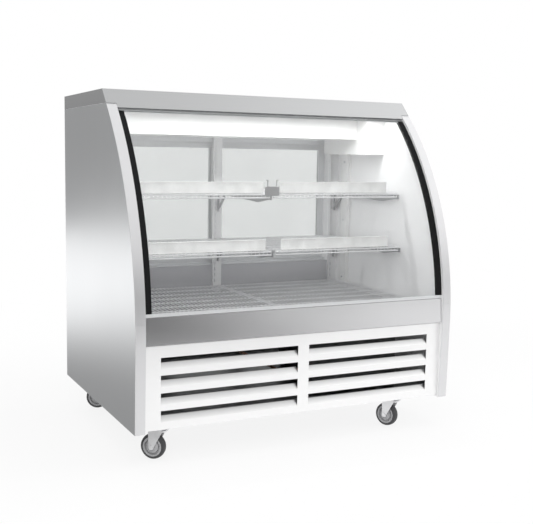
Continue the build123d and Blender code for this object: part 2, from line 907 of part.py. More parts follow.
# Shelf brackets: a tapering arm with a top flange and a curved strut down to the standard
def shelf_bracket(x, shelf_top, shelf_front):
    """The corner brackets carry a flange on their inner side alone, clear of the line cover."""
    corner = 0 if x == 0 else (1 if x > 0 else -1)
    flange_middle = x - corner * (flange_width - corner_flange_width) / 2 if corner else x
    flange = corner_flange_width if corner else flange_width
    top = level(shelf_top - deck_wire - rail_wire)
    back = depth(standard_front)
    nose = depth(shelf_front)
    strut_start = back - strut_reach
    belly = top - flange_sheet - bracket_belly
    low = top - bracket_root_height
    with BuildPart() as bracket:
        with BuildSketch(Plane.YZ.offset(x - bracket_thickness / 2)):
            with BuildLine():
                Polyline(
                    (nose, top - flange_sheet),
                    (nose, top - flange_sheet - bracket_nose_height),
                    (nose + nose_run, top - flange_sheet - bracket_nose_height),
                    (nose + nose_run + belly_run, belly),
                    (strut_start - strut_width, top - flange_sheet - bracket_nose_height),
                )
                strut_low = (back - strut_width, low + strut_width)
                ThreePointArc(
                    (strut_start - strut_width, top - flange_sheet - bracket_nose_height),
                    (strut_start + strut_width * 0.6, (top + low) / 2 + strut_width * 0.4),
                    strut_low,
                )
                Polyline(strut_low, (back - strut_width, low), (back, low), (back, top - flange_sheet))
                Line((back, top - flange_sheet), (nose, top - flange_sheet))
            make_face()
            with BuildLine():
                window_top = top - flange_sheet - bracket_nose_height
                window_back = back - strut_width
                window_low = low + 2.4 * strut_width
                Line((strut_start + strut_width * 0.4, window_top), (window_back, window_top))
                Line((window_back, window_top), (window_back, window_low))
                ThreePointArc(
                    (window_back, window_low),
                    (strut_start + strut_width * 1.7, (window_top + window_low) / 2 + strut_width * 0.5),
                    (strut_start + strut_width * 0.4, window_top),
                )
            make_face(mode=Mode.SUBTRACT)
        extrude(amount=bracket_thickness)
        with BuildSketch(Plane.XY.offset(top - flange_sheet)):
            with Locations((flange_middle, (nose + back) / 2)):
                Rectangle(flange, back - nose)
        extrude(amount=flange_sheet)
    return bracket.part


with BuildPart() as shelf_brackets:
    for x in standard_spots:
        add(shelf_bracket(x, upper_shelf_top, upper_shelf_front))
        add(shelf_bracket(x, lower_shelf_top, lower_shelf_front))
    nose_top = level(upper_shelf_top - deck_wire - rail_wire)
    nose_plane = Plane.XZ.offset(-depth(upper_shelf_front))
    with BuildSketch(nose_plane):
        with Locations((0, nose_top + nose_plate_height / 2 - flange_sheet)):
            Rectangle(nose_plate_width, nose_plate_height)
    extrude(amount=nose_plate_sheet)
    with BuildSketch(Plane.XY.offset(nose_top + nose_plate_height - flange_sheet)):
        with Locations(*[(s * prong_offset, depth(upper_shelf_front) - nose_plate_sheet / 2) for s in (-1, 1)]):
            Rectangle(prong_wire, prong_wire)
    extrude(amount=prong_height)
    with BuildSketch(Plane.XY.offset(nose_top + nose_plate_height - flange_sheet + prong_height)):
        for s in (-1, 1):
            with Locations((s * (prong_offset + prong_wire), depth(upper_shelf_front) - nose_plate_sheet / 2)):
                Rectangle(3 * prong_wire, prong_wire)
    extrude(amount=prong_wire)
keep(shelf_brackets.part, "shelf_brackets")


def wire_grid(x_range, y_range, top, cross_rails):
    """A welded grid: a square frame with cross rails, and thinner wires laid front to back."""
    width = x_range[1] - x_range[0]
    length = y_range[1] - y_range[0]
    middle = ((x_range[0] + x_range[1]) / 2, (y_range[0] + y_range[1]) / 2)
    count = int((width - rail_wire) // wire_pitch)
    with BuildPart() as grid:
        with BuildSketch(Plane.XY.offset(top - deck_wire - rail_wire)):
            with Locations(middle):
                Rectangle(width, length)
                Rectangle(width - 2 * rail_wire, length - 2 * rail_wire, mode=Mode.SUBTRACT)
                with GridLocations(1, (length - rail_wire) / (cross_rails + 1), 1, cross_rails):
                    Rectangle(width, rail_wire)
        extrude(amount=rail_wire)
        with BuildSketch(Plane.XY.offset(top - deck_wire)):
            with Locations(middle):
                with GridLocations((width - deck_wire) / count, 1, count + 1, 1):
                    Rectangle(deck_wire, length)
        extrude(amount=deck_wire)
    return grid.part


shelf_inner = shelf_middle_gap / 2
shelf_outer = inner_half - shelf_side_gap
shelf_back = depth(standard_front - shelf_back_gap)
for level_name, top, front in (
    ("upper", upper_shelf_top, upper_shelf_front),
    ("lower", lower_shelf_top, lower_shelf_front),
):
    for side_name, x_range in (("left", (-shelf_outer, -shelf_inner)), ("right", (shelf_inner, shelf_outer))):
        shelf = wire_grid(x_range, (depth(front) + rail_clearance, shelf_back), level(top), shelf_cross_rails)
        keep(shelf, "shelf_" + level_name + "_" + side_name)

# White price channels along the shelf fronts
with BuildPart() as price_channels:
    for top, front in ((upper_shelf_top, upper_shelf_front), (lower_shelf_top, lower_shelf_front)):
        for start_x in (-price_channel_middle_gap / 2 - price_channel_length, price_channel_middle_gap / 2):
            with BuildSketch(Plane.YZ.offset(start_x)):
                with BuildLine():
                    foot = level(top)
                    head = foot + price_channel_height + price_channel_lift
                    face = depth(front) + rail_clearance + price_channel_lip
                    Polyline(
                        (face - price_channel_lip, foot),
                        (face - price_channel_lip, foot + price_channel_lip),
                        (face - price_channel_lip + price_channel_sheet / 2, foot + price_channel_lip),
                        (face, foot + price_channel_sheet),
                        (face, head - price_channel_sheet),
                        (face - price_channel_lip + price_channel_sheet / 2, head - price_channel_lip),
                        (face - price_channel_lip, head - price_channel_lip),
                        (face - price_channel_lip, head),
                        (face + price_channel_sheet, head),
                        (face + price_channel_sheet, foot),
                        close=True,
                    )
                make_face()
            extrude(amount=price_channel_length)
keep(price_channels.part, "price_channels")

# Deck racks on four legs each
rack_inner = rack_middle_gap / 2
rack_outer = inner_half - rack_side_gap
rack_front = depth(well_wall_back + rack_front_gap)
rack_back = depth(rear_wall_front - rack_rear_gap)
for side_name, x_range in (("left", (-rack_outer, -rack_inner)), ("right", (rack_inner, rack_outer))):
    with BuildPart() as rack:
        add(wire_grid(x_range, (rack_front, rack_back), level(rack_top), rack_cross_rails))
        with BuildSketch(Plane.XY.offset(level(well_floor_top))):
            with Locations(((x_range[0] + x_range[1]) / 2, (rack_front + rack_back) / 2)):
                width = x_range[1] - x_range[0] - rail_wire
                with GridLocations(width, rack_back - rack_front - rail_wire, 2, 2):
                    Rectangle(rail_wire, rail_wire)
        extrude(amount=rack_top - deck_wire - rail_wire - well_floor_top)
    keep(rack.part, "deck_rack_" + side_name)

# Base: two rectangular tubes across the case, and a pan that carries the machinery
with BuildPart() as base_rails:
    for setback in (caster_front_setback, caster_rear_setback):
        with BuildSketch(Plane.YZ.offset(-inner_half)):
            with Locations((depth(setback), level(base_rail_lift + rail_height / 2))):
                Rectangle(rail_depth, rail_height)
                Rectangle(rail_depth - 2 * rail_wall, rail_height - 2 * rail_wall, mode=Mode.SUBTRACT)
        extrude(amount=2 * inner_half)
keep(base_rails.part, "base_rails")

pan_level = base_rail_lift + rail_height
pan_front = grille_setback + grille_return + slide_gap
with BuildPart() as base_pan:
    with BuildSketch(Plane.XY.offset(level(pan_level))):
        with Locations((0, depth((pan_front + rear_wall_back) / 2))):
            Rectangle(2 * inner_half, rear_wall_back - pan_front)
    extrude(amount=pan_lip)
    with BuildSketch(Plane.XY.offset(level(pan_level + pan_sheet))):
        with Locations((0, depth((pan_front + rear_wall_back) / 2))):
            Rectangle(2 * inner_half - 2 * pan_sheet, rear_wall_back - pan_front - 2 * pan_sheet)
    extrude(amount=pan_lip, mode=Mode.SUBTRACT)
keep(base_pan.part, "base_pan")
pan_top = pan_level + pan_sheet

# Rear service panel with two banks of air slots and an opening for the controls
service_low = level(grille_lift)
service_high = level(well_floor_top)
service_middle = (service_low + service_high) / 2
with BuildPart() as rear_service_panel:
    with BuildSketch(Plane.XZ.offset(-depth(rear_wall_back))):
        with Locations((0, service_middle)):
            Rectangle(2 * inner_half - 2 * slide_gap, service_high - service_low)
        with Locations((control_middle, level(control_level))):
            Rectangle(
                control_width - 2 * control_rim, control_height - 2 * control_rim, mode=Mode.SUBTRACT
            )
        for x in (service_slot_middle - service_slot_length * 0.6, service_slot_middle + service_slot_length * 0.6):
            with Locations((x, service_middle)):
                with GridLocations(1, service_slot_pitch, 1, service_slot_count):
                    SlotOverall(service_slot_length, service_slot_height, mode=Mode.SUBTRACT)
    extrude(amount=-sheet)
keep(rear_service_panel.part, "rear_service_panel")

# Condensing unit: finned coil behind the grille, shroud, fan, compressor and the fan motors
condenser_x = condenser_middle
condenser_back = condenser_setback + condenser_thickness
condenser_fins = int((condenser_width - fin_sheet) // condenser_fin_pitch)
with BuildPart() as condenser_coil:
    start = condenser_x - condenser_width / 2
    with BuildSketch(Plane.YZ.offset(start)):
        for rise in condenser_tube_rises:
            with Locations((depth((condenser_setback + condenser_back) / 2), level(pan_top) + rise)):
                RegularPolygon(condenser_tube_radius, 4)
    extrude(amount=condenser_width)
    for n in range(condenser_fins + 1):
        with BuildSketch(Plane.YZ.offset(start + n * (condenser_width - fin_sheet) / condenser_fins)):
            with Locations((depth((condenser_setback + condenser_back) / 2), level(pan_top + condenser_height / 2))):
                Rectangle(condenser_thickness, condenser_height)
        extrude(amount=fin_sheet)
keep(condenser_coil.part, "condenser_coil")

shroud_back = condenser_back + shroud_depth
fan_level = level(pan_top + condenser_height / 2)
with BuildPart() as condenser_shroud:
    with BuildSketch(Plane.XZ.offset(-depth(condenser_back))):
        with Locations((condenser_x, fan_level)):
            Rectangle(condenser_width, condenser_height)
    extrude(amount=-shroud_depth)
    with BuildSketch(Plane.XZ.offset(-depth(condenser_back))):
        with Locations((condenser_x, fan_level)):
            Rectangle(condenser_width - 2 * sheet, condenser_height - 2 * sheet)
    extrude(amount=-shroud_depth + sheet, mode=Mode.SUBTRACT)
    with BuildSketch(Plane.XZ.offset(-depth(shroud_back - sheet))):
        with Locations((condenser_x, fan_level)):
            Circle(shroud_hole_radius)
    extrude(amount=-sheet, mode=Mode.SUBTRACT)
keep(condenser_shroud.part, "condenser_shroud")

condenser_fan_y = depth(shroud_back) - condenser_fan_inset
condenser_fan = fan_rotor(
    condenser_fan_radius, condenser_hub_radius, condenser_hub_depth, condenser_blade_count,
    condenser_shaft_radius + running_gap,
)
keep(
    condenser_fan.moved(Location((condenser_x, condenser_fan_y, fan_level), (90, 0, 0))),
    "condenser_fan",
)
with BuildPart() as fan_motors:
    for x in fan_spots:
        with Locations((x, fan_y, level(ceiling_bottom))):
            add(fan_motor(motor_radius, motor_height, motor_shaft_radius, shaft_reach))
    motor_face = depth(shroud_back) + motor_stand
    motor_reach = motor_face - condenser_fan_y + condenser_hub_depth / 2
    motor = fan_motor(condenser_motor_radius, condenser_motor_length, condenser_shaft_radius, motor_reach)
    with Locations(Location((condenser_x, motor_face + condenser_motor_length, fan_level), (-90, 0, 0))):
        add(motor)
    with BuildSketch(Plane.XZ.offset(-motor_face)):
        with Locations((condenser_x, fan_level)):
            Rectangle(2 * shroud_hole_radius + 2 * motor_arm_width, motor_arm_width)
            Circle(condenser_shaft_radius + running_gap, mode=Mode.SUBTRACT)
    extrude(amount=-motor_arm_sheet)
    for side in (-1, 1):
        with BuildSketch(Plane.XZ.offset(-depth(shroud_back))):
            with Locations((condenser_x + side * (shroud_hole_radius + motor_arm_width / 2), fan_level)):
                Rectangle(motor_arm_width, motor_arm_width)
        extrude(amount=-motor_stand)
keep(fan_motors.part, "fan_motors")

compressor_y = depth(compressor_setback)
with BuildPart() as compressor:
    with BuildSketch(Plane.XY.offset(level(pan_top))):
        with Locations((compressor_middle, compressor_y)):
            Rectangle(2.4 * compressor_radius, 2.0 * compressor_radius)
    extrude(amount=foot_height)
    with BuildSketch(Plane(origin=(compressor_middle, compressor_y, level(pan_top)), x_dir=(1, 0, 0), z_dir=(0, -1, 0))):
        with BuildLine():
            dome = compressor_radius * 0.45
            shoulder = (compressor_radius, compressor_height - dome)
            crown_radius = (compressor_radius**2 + dome**2) / (2 * dome)
            swing = asin(compressor_radius / crown_radius) / 2
            crown_drop = crown_radius * (1 - cos(swing))
            Polyline(
                (0, foot_height / 2),
                (compressor_radius * 0.8, foot_height / 2),
                (compressor_radius, foot_height * 2),
                shoulder,
            )
            ThreePointArc(
                shoulder,
                (crown_radius * sin(swing), compressor_height - crown_drop),
                (0, compressor_height),
            )
            Line((0, compressor_height), (0, foot_height / 2))
        make_face()
    revolve(axis=Axis((compressor_middle, compressor_y, 0), (0, 0, 1)))
    with BuildSketch(Plane.XY.offset(level(pan_top + compressor_seam))):
        with Locations((compressor_middle, compressor_y)):
            Circle(compressor_radius + 2 * sheet)
    extrude(amount=2 * sheet)
keep(compressor.part, "compressor")


def pipe(points, radii):
    """A round line along straight runs joined by arcs."""
    with BuildPart() as line:
        with BuildLine() as route:
            FilletPolyline(*points, radius=radii)
        with BuildSketch(Plane(origin=route.line @ 0, z_dir=route.line % 0)):
            Circle(pipe_radius)
        sweep(path=route.line)
    return line.part


with BuildPart() as refrigerant_lines:
    suction_x = compressor_middle + compressor_radius
    line_drop_x = inner_half - line_drop_inset
    line_drop_y = depth((line_cover_front + line_cover_back) / 2)
    suction_z = level(pan_top + compressor_seam + suction_rise)
    add(
        pipe(
            [
                (suction_x, compressor_y, suction_z),
                (line_drop_x, compressor_y, suction_z),
                (line_drop_x, line_drop_y, suction_z),
                (line_drop_x, line_drop_y, level(well_floor_bottom)),
            ],
            pipe_bend,
        )
    )
    discharge_x = compressor_middle - compressor_radius
    add(
        pipe(
            [
                (discharge_x, compressor_y, suction_z),
                (discharge_x - discharge_run, compressor_y, suction_z),
                (discharge_x - discharge_run, depth(condenser_back) - condenser_thickness / 2, suction_z),
                (condenser_x - condenser_width / 2, depth(condenser_back) - condenser_thickness / 2, suction_z),
            ],
            pipe_bend,
        )
    )
keep(refrigerant_lines.part, "refrigerant_lines")

# Control box with the thermostat knob and the lamp switch on the rear service panel
control_face = depth(rear_wall_back)
control_z = level(control_level)
knob_x = control_middle + control_width / 5
rocker_x = control_middle - control_width / 5
with BuildPart() as control_box:
    with BuildSketch(Plane.XZ.offset(-control_face)):
        with Locations((control_middle, control_z)):
            Rectangle(control_width, control_height)
    extrude(amount=control_depth)
    with BuildSketch(Plane.XZ.offset(-control_face)):
        with Locations((knob_x, control_z)):
            Circle(knob_shaft_radius + running_gap)
    extrude(amount=knob_shaft_length + slide_gap, mode=Mode.SUBTRACT)
    with BuildSketch(Plane.XZ.offset(-control_face)):
        with Locations((rocker_x, control_z)):
            Rectangle(rocker_width + 2 * rocker_room, rocker_height + 2 * rocker_room)
    extrude(amount=rocker_pocket, mode=Mode.SUBTRACT)
    with BuildSketch(Plane.YZ.offset(rocker_x - rocker_width / 2 - rocker_pin_length)):
        with Locations((control_face - rocker_pin_depth, control_z)):
            Circle(rocker_pin_radius + running_gap)
    extrude(amount=rocker_width + 2 * rocker_pin_length, mode=Mode.SUBTRACT)
keep(control_box.part, "control_box")

with BuildPart() as thermostat_knob:
    with BuildSketch(Plane.XZ.offset(-control_face - knob_lift)):
        with Locations((knob_x, control_z)):
            Circle(knob_radius)
    extrude(amount=-knob_height, taper=8)
    with BuildSketch(Plane.XZ.offset(-control_face - knob_lift - knob_height)):
        with Locations((knob_x, control_z + knob_radius * 0.45)):
            Rectangle(pointer_width, knob_radius * 0.7)
    extrude(amount=pointer_cut, mode=Mode.SUBTRACT)
    with BuildSketch(Plane.XZ.offset(-control_face - knob_lift)):
        with Locations((knob_x, control_z)):
            Circle(knob_shaft_radius)
    extrude(amount=knob_lift + knob_shaft_length)
keep(thermostat_knob.part, "thermostat_knob")

with BuildPart() as lamp_switch:
    pivot_y = control_face - rocker_pin_depth
    tilt = radians(rocker_tilt)
    rocker_plane = Plane(
        origin=(rocker_x - rocker_width / 2, pivot_y, control_z),
        x_dir=(0, cos(tilt), sin(tilt)),
        z_dir=(1, 0, 0),
    )
    with BuildSketch(rocker_plane):
        with BuildLine():
            Polyline(
                (-rocker_back, -rocker_height * 0.3),
                (rocker_pin_depth - rocker_edge, -rocker_height / 2 + rocker_room),
                (rocker_pin_depth + rocker_edge, -rocker_height / 2 + rocker_room),
                (rocker_pin_depth, 0),
                (rocker_pin_depth + rocker_edge, rocker_height / 2 - rocker_room),
                (rocker_pin_depth - rocker_edge, rocker_height / 2 - rocker_room),
                (-rocker_back, rocker_height * 0.3),
                close=True,
            )
        make_face()
    extrude(amount=rocker_width)
    with BuildSketch(Plane.YZ.offset(rocker_x - rocker_width / 2 - rocker_pin_length + slide_gap)):
        with Locations((pivot_y, control_z)):
            Circle(rocker_pin_radius)
    extrude(amount=rocker_width + 2 * (rocker_pin_length - slide_gap))
keep(lamp_switch.part, "lamp_switch")

# Casters. Each is modelled about its kingpin with the wheel trailing towards -X, then turned
plate_top = caster_height + base_rail_lift
plate_bottom = plate_top - plate_thickness
raceway_bottom = plate_bottom - raceway_height
crown_top = raceway_bottom - raceway_gap
fork_half = wheel_width / 2 + fork_wheel_gap


def caster_plate():
    """Top plate with the upper raceway and the kingpin."""
    with BuildPart() as plate:
        with BuildSketch(Plane.XY.offset(plate_top)):
            RectangleRounded(plate_length, plate_width, plate_corner)
        extrude(amount=-plate_thickness)
        with BuildSketch(Plane.XY.offset(plate_bottom)):
            Circle(raceway_radius)
        extrude(amount=-raceway_height, taper=10)
        with BuildSketch(Plane.XY.offset(raceway_bottom)):
            Circle(kingpin_radius)
        extrude(amount=-raceway_gap - crown_height)
        with BuildSketch(Plane.XY.offset(crown_top - crown_height - raceway_gap)):
            Circle(kingpin_head_radius)
        extrude(amount=-kingpin_head)
        with BuildSketch(Plane.XY.offset(crown_top - crown_height)):
            Circle(kingpin_radius)
        extrude(amount=-raceway_gap)
    return plate.part


def caster_fork():
    """Crown, two tapering legs and the axle bolt, as one riveted piece."""
    with BuildPart() as fork:
        with BuildSketch(Plane.XY.offset(crown_top)):
            with Locations((-crown_shift, 0)):
                RectangleRounded(crown_length, 2 * (fork_half + fork_sheet), crown_corner)
        extrude(amount=-crown_height)
        for side in (-1, 1):
            with BuildSketch(Plane.XZ.offset(-side * (fork_half + fork_sheet / 2) - fork_sheet / 2)):
                with BuildLine():
                    head = crown_top
                    reach = crown_length / 2
                    Polyline(
                        (-caster_trail - leg_end, wheel_radius),
                        (-crown_shift - reach + crown_corner, head),
                        (-crown_shift + reach - crown_corner, head),
                        (-caster_trail + leg_end, wheel_radius),
                    )
                    ThreePointArc(
                        (-caster_trail + leg_end, wheel_radius),
                        (-caster_trail, wheel_radius - leg_end),
                        (-caster_trail - leg_end, wheel_radius),
                    )
                make_face()
            extrude(amount=fork_sheet)
        with BuildSketch(Plane.XZ.offset(-fork_half - fork_sheet)):
            with Locations((-caster_trail, wheel_radius)):
                Circle(axle_radius)
        extrude(amount=2 * (fork_half + fork_sheet))
        for start in (-fork_half - fork_sheet - bolt_head, fork_half + fork_sheet):
            with BuildSketch(Plane.XZ.offset(start)):
                with Locations((-caster_trail, wheel_radius)):
                    RegularPolygon(bolt_head_radius, 6)
            extrude(amount=bolt_head)
        with BuildSketch(Plane.XY.offset(crown_top)):
            Circle(kingpin_radius + running_gap)
        extrude(amount=-crown_height, mode=Mode.SUBTRACT)
    return fork.part


def caster_wheel():
    """Bored hub with a dished web, and a rubber tyre round it, as two solids."""
    hub_radius = wheel_radius - tyre_thickness
    axle_plane = Plane(origin=(-caster_trail, 0, wheel_radius), x_dir=(1, 0, 0), z_dir=(0, 0, 1))
    with BuildPart() as hub:
        with BuildSketch(axle_plane):
            with BuildLine():
                Polyline(
                    (axle_radius + running_gap, -wheel_width / 2),
                    (boss_radius, -wheel_width / 2),
                    (boss_radius + 2.0, -web_thickness / 2),
                    (hub_radius - rim_thickness, -web_thickness / 2),
                    (hub_radius - rim_thickness / 2, -wheel_width / 2 + rim_inset),
                    (hub_radius, -wheel_width / 2 + rim_inset),
                    (hub_radius, wheel_width / 2 - rim_inset),
                    (hub_radius - rim_thickness / 2, wheel_width / 2 - rim_inset),
                    (hub_radius - rim_thickness, web_thickness / 2),
                    (boss_radius + 2.0, web_thickness / 2),
                    (boss_radius, wheel_width / 2),
                    (axle_radius + running_gap, wheel_width / 2),
                    close=True,
                )
            make_face()
        revolve(axis=Axis((-caster_trail, 0, wheel_radius), (0, 1, 0)))
    with BuildPart() as tyre:
        with BuildSketch(axle_plane):
            with BuildLine():
                half = wheel_width / 2 - rim_inset
                Polyline(
                    (wheel_radius - tyre_shoulder, -half),
                    (hub_radius, -half),
                    (hub_radius, half),
                    (wheel_radius - tyre_shoulder, half),
                )
                ThreePointArc(
                    (wheel_radius - tyre_shoulder, half),
                    (wheel_radius, 0),
                    (wheel_radius - tyre_shoulder, -half),
                )
            make_face()
        revolve(axis=Axis((-caster_trail, 0, wheel_radius), (0, 1, 0)))
    return hub.part, tyre.part


left_x = -half_width + caster_left_inset
right_x = half_width - caster_right_inset
caster_spots = {
    "front_left": (left_x, depth(caster_front_setback), front_left_turn),
    "front_right": (right_x, depth(caster_front_setback), front_right_turn),
    "rear_left": (left_x, depth(caster_rear_setback), rear_left_turn),
    "rear_right": (right_x, depth(caster_rear_setback), rear_right_turn),
}
fork = caster_fork()
hub, tyre = caster_wheel()
with BuildPart() as caster_plates:
    for x, y, turn in caster_spots.values():
        with Locations((x, y, 0)):
            add(caster_plate())
keep(caster_plates.part, "caster_plates")
for name, (x, y, turn) in caster_spots.items():
    spot = Location((x, y, 0), (0, 0, turn))
    keep(fork.moved(spot), "caster_fork_" + name)
    keep(Compound(children=[hub.moved(spot), tyre.moved(spot)]), "caster_wheel_" + name)
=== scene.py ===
import json
from math import cos, pi, radians, sin

import bmesh
import bpy
from mathutils import Matrix, Vector

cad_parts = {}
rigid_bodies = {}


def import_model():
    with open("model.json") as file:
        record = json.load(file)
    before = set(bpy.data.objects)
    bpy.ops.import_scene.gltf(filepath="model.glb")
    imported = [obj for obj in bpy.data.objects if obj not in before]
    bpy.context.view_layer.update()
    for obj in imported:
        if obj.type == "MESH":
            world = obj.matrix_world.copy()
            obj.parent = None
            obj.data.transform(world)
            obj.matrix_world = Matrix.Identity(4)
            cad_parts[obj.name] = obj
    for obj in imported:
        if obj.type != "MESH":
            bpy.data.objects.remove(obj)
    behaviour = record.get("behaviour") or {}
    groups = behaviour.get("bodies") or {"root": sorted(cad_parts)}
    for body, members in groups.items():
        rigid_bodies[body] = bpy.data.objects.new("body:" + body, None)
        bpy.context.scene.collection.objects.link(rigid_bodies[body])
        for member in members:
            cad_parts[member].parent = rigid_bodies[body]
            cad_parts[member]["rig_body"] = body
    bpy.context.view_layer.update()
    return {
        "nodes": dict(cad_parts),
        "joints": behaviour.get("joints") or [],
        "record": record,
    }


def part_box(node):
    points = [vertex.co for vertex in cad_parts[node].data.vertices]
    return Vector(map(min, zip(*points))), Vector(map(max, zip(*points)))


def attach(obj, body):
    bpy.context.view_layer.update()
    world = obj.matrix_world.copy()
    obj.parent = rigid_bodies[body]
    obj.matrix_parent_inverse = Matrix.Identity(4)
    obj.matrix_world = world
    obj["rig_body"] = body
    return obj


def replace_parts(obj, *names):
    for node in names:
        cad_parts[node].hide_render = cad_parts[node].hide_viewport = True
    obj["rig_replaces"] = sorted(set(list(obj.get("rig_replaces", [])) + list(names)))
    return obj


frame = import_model()
nodes = frame["nodes"]
slot_of = {part["node"]: part["material_slot"] for part in frame["record"]["subparts"]}
body_of = {name: holder["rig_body"] for name, holder in nodes.items()}
joint_of = {joint["child"]: joint for joint in frame["joints"]}


# Camera, at the angle and distance of the photograph
photo_width = 533
focal_pixels = 889.07
sensor_width = 36.0
camera_place = Vector((-1.5235, -3.1784, 1.0344))
camera_yaw = radians(26.527)
camera_pitch = radians(6.701)
camera_roll = radians(0.945)


def set_camera():
    """A camera turned by its yaw, tipped down by its pitch and rolled about its line of sight."""
    level = cos(camera_pitch)
    forward = Vector((sin(camera_yaw) * level, cos(camera_yaw) * level, -sin(camera_pitch)))
    level_right = Vector((cos(camera_yaw), -sin(camera_yaw), 0.0))
    level_up = level_right.cross(forward)
    right = cos(camera_roll) * level_right + sin(camera_roll) * level_up
    up = cos(camera_roll) * level_up - sin(camera_roll) * level_right
    lens = bpy.data.cameras.new("camera")
    lens.sensor_width = sensor_width
    lens.lens = sensor_width * focal_pixels / photo_width
    lens.clip_end = 100.0
    camera = bpy.data.objects.new("camera", lens)
    bpy.context.scene.collection.objects.link(camera)
    turn = Matrix((right, up, -forward)).transposed().to_4x4()
    camera.matrix_world = Matrix.Translation(camera_place) @ turn
    bpy.context.scene.camera = camera


set_camera()


# Node trees
class Socket:
    """A node's output that takes Python's operators, as Math nodes."""

    def __init__(self, tree, output):
        self.tree = tree
        self.output = output

    def math(self, operation, first, second):
        return self.tree.node("ShaderNodeMath", {0: first, 1: second}, operation=operation)

    def __add__(self, other):
        return self.math("ADD", self, other)

    def __sub__(self, other):
        return self.math("SUBTRACT", self, other)

    def __rsub__(self, other):
        return self.math("SUBTRACT", other, self)

    def __mul__(self, other):
        return self.math("MULTIPLY", self, other)

    def __pow__(self, other):
        return self.math("POWER", self, other)

    def __rpow__(self, other):
        return self.math("POWER", other, self)

    __radd__ = __add__
    __rmul__ = __mul__


class Tree:
    """A node tree; nodes are made by one method and joined by their sockets."""

    def __init__(self, tree):
        self.nodes = tree.nodes
        self.links = tree.links

    def feed(self, socket, value):
        if isinstance(value, Socket):
            self.links.new(value.output, socket)
        else:
            socket.default_value = value

    def node(self, kind, inputs, output=0, **settings):
        made = self.nodes.new(kind)
        for name, value in settings.items():
            setattr(made, name, value)
        for name, value in inputs.items():
            self.feed(made.inputs[name], value)
        return Socket(self, made.outputs[output])

    def along(self, axis, space="Object"):
        """The coordinate along one axis."""
        here = self.node("ShaderNodeTexCoord", {}, output=space)
        return self.node("ShaderNodeSeparateXYZ", {"Vector": here}, output=axis)

    def ray(self, question):
        """1 where the ray is of the kind asked for, such as Is Camera Ray, and otherwise 0."""
        return self.node("ShaderNodeLightPath", {}, output=question)

    def ease(self, value, start, end, top=1.0):
        """A soft rise from 0 to top while a value goes from start to end."""
        return self.node(
            "ShaderNodeMapRange", {"Value": value, "From Min": start, "From Max": end, "To Max": top},
            interpolation_type="SMOOTHSTEP",
        )

    def mix(self, share, first, second):
        """A colour between two, by a share from 0 to 1."""
        return self.node("ShaderNodeMix", {0: share, 6: first, 7: second}, output=2, data_type="RGBA")

    def mix_shaders(self, share, first, second):
        return self.node("ShaderNodeMixShader", {0: share, 1: first, 2: second})


class Finish(Tree):
    """A material with its Principled shader."""

    def __init__(self, name, **constants):
        self.material = bpy.data.materials.new(name)
        self.material.use_nodes = True
        super().__init__(self.material.node_tree)
        self.surface = self.nodes["Principled BSDF"]
        self.shader = Socket(self, self.surface.outputs[0])
        self.set(**constants)

    def set(self, **inputs):
        for name, value in inputs.items():
            self.feed(self.surface.inputs[name.replace("_", " ")], value)

    def show(self, shader):
        """Puts a mix of shaders in the place of the Principled shader alone."""
        self.feed(self.nodes["Material Output"].inputs["Surface"], shader)

    def place(self, scale=(1.0, 1.0, 1.0)):
        """Object coordinates, stretched by one scale for each axis."""
        here = self.node("ShaderNodeTexCoord", {}, output="Object")
        return self.node("ShaderNodeMapping", {"Vector": here, "Scale": scale})

    def noise(self, scale, detail=2.0, stretch=(1.0, 1.0, 1.0)):
        return self.node(
            "ShaderNodeTexNoise", {"Vector": self.place(stretch), "Scale": scale, "Detail": detail}
        )

    def tint(self, share, dark, light):
        """A colour between a dark and a light one, by a share from 0 to 1."""
        return self.mix(share, (*dark, 1.0), (*light, 1.0))

    def bump(self, height, strength, distance):
        relief = {"Height": height, "Strength": strength, "Distance": distance}
        self.set(Normal=self.node("ShaderNodeBump", relief))


# Finishes
streak_scales = {"along": 5.0, "across": 900.0}
band_scales = {"along": 0.8, "across": 45.0}
liner_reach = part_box("end_panel_right")[0].x + 0.0015
grille_lip = 0.0005
grille_depth = 0.013
top_sheen_low = 0.80
top_sheen_high = 1.22


def shade(colour, factor):
    return tuple(min(1.0, c * factor) for c in colour)


def grained(finish, grain, scales, detail):
    """Noise drawn out along the grain of a sheet."""
    stretch = tuple(scales["along"] if axis == grain else scales["across"] for axis in "xyz")
    return finish.noise(1.0, detail, stretch)


def brush(finish, grain, roughness):
    """Brushes a sheet along its grain, and gives its fine streaks and its broad soft patches."""
    streaks = grained(finish, grain, streak_scales, 3.0)
    patches = finish.noise(2.6)
    finish.set(Roughness=(streaks - 0.5) * 0.06 + (patches - 0.5) * 0.06 + roughness)
    finish.bump(streaks, 0.03, 0.0001)
    return streaks, patches


def steel(
    name, colour, roughness, grain, streak=0.05, cloud=0.05, metallic=1.0, spread=0.2, liner=None
):
    """Brushed sheet; a liner, where one is given, is paler and less metallic between the end panels."""
    finish = Finish(name, Metallic=metallic)
    streaks, patches = brush(finish, grain, roughness)
    bands = grained(finish, grain, band_scales, 2.0)
    tone = (streaks - 0.5) * streak + (bands - 0.5) * streak + (patches - 0.5) * cloud + 0.5
    sheet = finish.tint(tone, shade(colour, 1.0 - spread), shade(colour, 1.0 + spread))
    if liner:
        within = finish.node("ShaderNodeMath", {0: finish.along("X")}, operation="ABSOLUTE")
        inside = finish.node("ShaderNodeMath", {0: within, 1: liner_reach}, operation="LESS_THAN")
        sheet = finish.mix(inside, sheet, finish.tint(tone, shade(liner, 0.94), shade(liner, 1.06)))
        finish.set(Metallic=1.0 - inside * 0.9)
    finish.set(Base_Color=sheet)
    return finish.material


